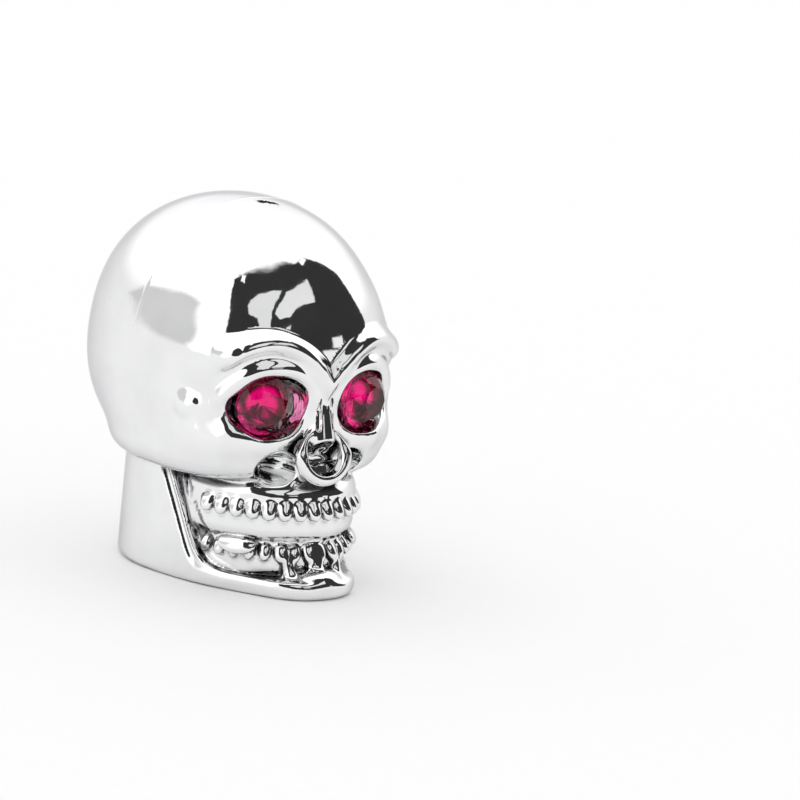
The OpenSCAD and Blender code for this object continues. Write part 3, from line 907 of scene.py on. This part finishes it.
def foil(name, side):
    """Faceted cone of coloured foil inside the stone, which throws the light back."""
    points = [(0, 0, FOIL_TIP)]
    faces = []
    count = FACETS * 2
    for i in range(count):
        for (r, z), half in ((FOIL_INNER, 0.5), (FOIL_OUTER, 0)):
            a = 2 * math.pi * (i + half) / count
            points.append((r * math.cos(a), r * math.sin(a), z))
    for i in range(count):
        k, n = 1 + 2 * i, 1 + 2 * ((i + 1) % count)
        faces += [(0, k, n), (k, n + 1, n), (k, k + 1, n + 1)]
    return mesh_object(name, at_eye(points, side), faces, smooth=False)


def at_eye(points, side):
    """Puts points of a stone into its socket, side 1 for the skull's left and -1 for its right."""
    turn = Matrix.Rotation(math.radians(side * EYE_TURN), 4, "Z") @ Matrix.Rotation(math.pi / 2, 4, "X")
    place = Matrix.Translation((side * EYE_GAP / 2, -CRYSTAL_Y, EYE_Z)) @ turn
    return [tuple((place @ Vector(p)) * MM) for p in points]


finish_piece(body_surface(), CHROME, "skull_body")
finish_piece(insert_mesh(), METAL, "threaded_insert")
foot, top = RELIEF_START + SEAL_PLAY, RELIEF_START + SEAL_PLAY + SEAL_T
washer = [(SEAL_HOLE_R, foot), (SEAL_R, foot), (SEAL_R, top), (SEAL_HOLE_R, top)]
finish_piece(lathe("rubber_washer", bevelled(washer, SEAL_ROUND)), RUBBER, "seal_washer")
for side, word in ((1, "left"), (-1, "right")):
    finish_piece(stone("cut_stone_" + word, side), STONE, "crystal_" + word)
    finish_piece(foil("stone_foil_" + word, side), FOIL)


# Studio: pale floor, white tent with a dark opening and a few cards, and the camera of the photograph
AZIMUTH = 40.0
ELEVATION = 12.0
ROLL = 5.8
PIXELS_A_MM = 15.4
ORIGIN_PIXEL = (224.0, 560.0)
FRAME_PIXELS = 800
DISTANCE = 400.0
SENSOR = 36
WORLD_LIGHT = 1.0
FLOOR_SIZE = 2.0
FLOOR_GRAIN = 900.0
CARD_STEPS = 4
CLOSED_SPAN = 300
ZENITH = (0.0, 90.0)

# Plain cards, seen only in the metal and the stones: how bright, how far, and the corners by azimuth,
# elevation and the width of the soft edge there
CARDS = {
    "bright_dome": (1.35, 1.7, [
        (a, -8 if 70 < a < 95 else 8, 14) for a in range(-180, 180, 15)
    ]),
    "dark_opening": (0.035, 0.9, [
        (-79, 0, 2), (-75, 12, 2), (-75, 22, 2), (-79, 36, 2), (-76, 46, 2), (-71, 56, 2), (-54, 61, 3),
        (-45, 68, 6), (-30, 73, 8), (0, 76, 10), (30, 74, 8), (48, 70, 5), (62, 65, 3), (69, 61, 2),
        (66, 48, 2), (61, 34, 2), (60, 22, 3), (49, 12, 3), (32, 2, 3), (10, 0, 3),
    ]),
    "grey_wall": (0.72, 0.88, [
        (90, 34, 12), (98, 35, 8), (108, 33, 6), (118, 29, 6), (130, 22, 6), (142, 15, 7), (150, 6, 8),
        (132, 1, 12), (112, 2, 13), (98, 6, 12), (91, 20, 12),
    ]),
    "card_one": (0.86, 0.7, [
        (-7, 53, 1), (4, 55, 1), (16, 55, 1), (28, 54, 1), (37, 49, 2), (40, 43, 2), (37, 34, 2),
        (26, 30, 1), (22, 24, 1), (12, 22, 1), (10, 36, 1), (4, 45, 1),
    ]),
    "card_two": (0.88, 0.7, [
        (-46, 50, 2), (-30, 51, 1), (-12, 51, 1), (-4, 46, 1), (4, 40, 1), (8, 33, 1), (4, 27, 1),
        (-7, 27, 1), (-13, 33, 2), (-24, 35, 2), (-37, 34, 2), (-41, 42, 2),
    ]),
    "card_three": (0.8, 0.7, [(6, 21, 1), (-7, 21, 1), (-7, 15, 1), (6, 16, 1)]),
    "card_four": (1.0, 0.7, [(-39, 8, 1), (-47, 8, 1), (-47, 2, 1), (-39, 2, 1)]),
    "tick_one": (1.3, 0.6, [(49, 66, 1), (57, 66, 1), (57, 61, 1), (49, 61, 1)]),
    "tick_two": (1.3, 0.6, [(-57, 59, 1), (-69, 57, 1), (-69, 54, 1), (-57, 56, 1)]),
}


def sky(azimuth, elevation, radius):
    """A place on a sphere round the object. Azimuth 0 is in front of the face, 90 on its right."""
    a, e = math.radians(azimuth), math.radians(elevation)
    middle = Vector((0, 0, HEAD_H / 2 * MM))
    return middle + radius * Vector((-math.sin(a) * math.cos(e), -math.cos(a) * math.cos(e), math.sin(e)))


def hidden_from_camera(piece):
    """Leaves a card to be seen only in what mirrors or bends light."""
    piece.visible_camera = False
    piece.visible_diffuse = False
    piece.visible_shadow = False


def paint(name, level):
    """Plain light of one level, which fades out towards the card's edge."""
    s = Shader(name)
    spread = s.node("ShaderNodeSeparateXYZ", Vector=s.node("ShaderNodeUVMap").outputs[0]).outputs["X"]
    light = s.node("ShaderNodeEmission", Color=(1, 1, 1, 1), Strength=level)
    blend = s.node("ShaderNodeMixShader", Fac=s.ramp(spread, 0.0, 1.0))
    s.tree.links.new(s.tree.nodes.new("ShaderNodeBsdfTransparent").outputs[0], blend.inputs[1])
    s.tree.links.new(light.outputs[0], blend.inputs[2])
    s.tree.links.new(blend.outputs[0], s.tree.nodes["Material Output"].inputs[0])
    return s.made


def card(name, level, radius, corners):
    """A card on a sphere round the object, or a dome over it where its corners go right round."""
    outer, inner = [], []
    closed = sum((b[0] - a[0]) for a, b in zip(corners, corners[1:])) > CLOSED_SPAN
    middle = ZENITH if closed else tuple(np.mean(corners, axis=0)[:2].tolist())
    for a, b in zip(corners, corners[1:] + corners[:1]):
        ahead = b[0] + (360 if closed and b[0] < a[0] else 0)
        for k in range(CARD_STEPS):
            t = k / CARD_STEPS
            azimuth = a[0] + (ahead - a[0]) * t
            elevation = a[1] + (b[1] - a[1]) * t
            edge = a[2] + (b[2] - a[2]) * t
            to_middle = (0.0, 1.0) if closed else (middle[0] - azimuth, middle[1] - elevation)
            far = max(math.hypot(*to_middle), TINY)
            outer.append(sky(azimuth, elevation, radius))
            azimuth += to_middle[0] / far * edge
            elevation += to_middle[1] / far * edge
            inner.append(sky(azimuth, elevation, radius))
    count = len(outer)
    points = outer + inner + [sky(*middle, radius)]
    faces = []
    for i in range(count):
        j = (i + 1) % count
        faces += [(i, j, count + j, count + i), (count + i, count + j, 2 * count)]
    made = mesh_object(name, points, faces)
    layer = made.data.uv_layers.new(name="spread")
    for loop in made.data.loops:
        layer.data[loop.index].uv = (0.0 if loop.vertex_index < count else 1.0, 0.0)
    made.data.materials.append(paint(name + "_paint", level))
    hidden_from_camera(made)


def add_camera():
    a, e, roll = math.radians(AZIMUTH), math.radians(ELEVATION), math.radians(ROLL)
    right = Vector((math.cos(a), -math.sin(a), 0))
    ahead = Vector((math.sin(a) * math.cos(e), math.cos(a) * math.cos(e), -math.sin(e)))
    up = right.cross(ahead)
    x_axis = right * math.cos(roll) + up * math.sin(roll)
    y_axis = up * math.cos(roll) - right * math.sin(roll)
    off_x = (FRAME_PIXELS / 2 - ORIGIN_PIXEL[0]) / PIXELS_A_MM
    off_y = (ORIGIN_PIXEL[1] - FRAME_PIXELS / 2) / PIXELS_A_MM
    place = (x_axis * off_x + y_axis * off_y - ahead * DISTANCE) * MM
    data = bpy.data.cameras.new("photo_camera")
    data.sensor_width = SENSOR
    data.lens = SENSOR * DISTANCE / (FRAME_PIXELS / PIXELS_A_MM)
    data.clip_start = 0.01
    camera = bpy.data.objects.new("photo_camera", data)
    turn = Matrix((x_axis, y_axis, -ahead)).transposed()
    camera.matrix_world = Matrix.Translation(place) @ turn.to_4x4()
    bpy.context.collection.objects.link(camera)
    bpy.context.scene.camera = camera


def add_world():
    world = bpy.data.worlds.new("tent")
    bpy.context.scene.world = world
    world.use_nodes = True
    background = world.node_tree.nodes["Background"]
    background.inputs["Color"].default_value = (1, 1, 1, 1)
    background.inputs["Strength"].default_value = WORLD_LIGHT


def add_floor():
    corners = [(x * FLOOR_SIZE, y * FLOOR_SIZE, 0) for x, y in ((-1, -1), (1, -1), (1, 1), (-1, 1))]
    floor = mesh_object("floor", corners, [(0, 1, 2, 3)])
    s = Shader("floor_white")
    grain = s.noise(s.place, FLOOR_GRAIN, 3.0)
    s.set(Base_Color=s.mixed(grain, *FLOOR_TONES), Roughness=0.9)
    s.main.inputs["Specular IOR Level"].default_value = 0.1
    floor.data.materials.append(s.made)


add_camera()
add_world()
add_floor()
for name, (level, radius, corners) in CARDS.items():
    card(name, level, radius, corners)
bpy.context.scene.view_settings.view_transform = "Standard"
